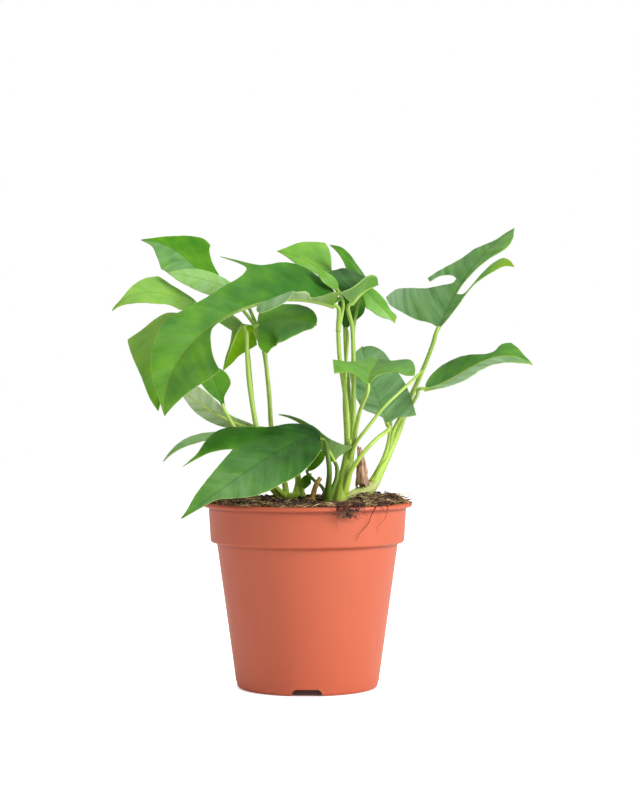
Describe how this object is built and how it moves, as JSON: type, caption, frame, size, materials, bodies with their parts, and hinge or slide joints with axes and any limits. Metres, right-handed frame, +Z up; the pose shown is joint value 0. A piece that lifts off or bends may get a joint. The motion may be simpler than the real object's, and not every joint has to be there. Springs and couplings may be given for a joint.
{
  "type": "potted houseplant",
  "caption": "Young climbing aroid with split glossy green leaves on long upright stalks, growing in a tapered orange plastic nursery pot filled with peat soil.",
  "frame": {"origin": "centre of the flat pad in the middle of the pot's underside, where the pot stands on the table", "axes": "+Z up along the pot's axis, -Y towards the viewer of the plant's front, +X to that viewer's right"},
  "size_m": [0.2384, 0.1316, 0.2645],
  "materials": {
    "terracotta_plastic": "terracotta coloured moulded polypropylene with a soft sheen",
    "peat_soil": "damp dark peat with light brown bark fibres",
    "stem": "smooth fleshy yellow-green stalk",
    "leaf": "glossy dark green upper side, paler matt underside",
    "dry_sheath": "dry brown papery leaf sheath",
    "woody_peg": "yellow-brown cut stub of an old stalk"
  },
  "bodies": {
    "root": {"pot": "terracotta_plastic", "soil": "peat_soil", "stem_centre": "stem", "stem_left": "stem", "stem_front": "stem", "leaf_arching": "leaf", "leaf_front": "leaf", "leaf_hanging_left": "leaf", "leaf_far_left": "leaf", "leaf_upper_left": "leaf", "leaf_top_left": "leaf", "leaf_small_hanging": "leaf", "leaf_sheltered": "leaf", "leaf_small_left": "leaf", "leaf_low_left": "leaf", "leaf_narrow_left": "leaf", "leaf_slanting": "leaf", "leaf_cupped": "leaf", "leaf_level": "leaf", "leaf_shaded": "leaf", "leaf_top_right": "leaf", "leaf_right": "leaf", "leaf_rear": "leaf", "leaf_top_light": "leaf", "leaf_tiny": "leaf", "leaf_curved_tip": "leaf", "leaf_bent_right": "leaf", "leaf_young_left": "leaf", "leaf_young_front": "leaf", "dry_sheath": "dry_sheath", "cut_peg": "woody_peg"}
  },
  "joints": []
}
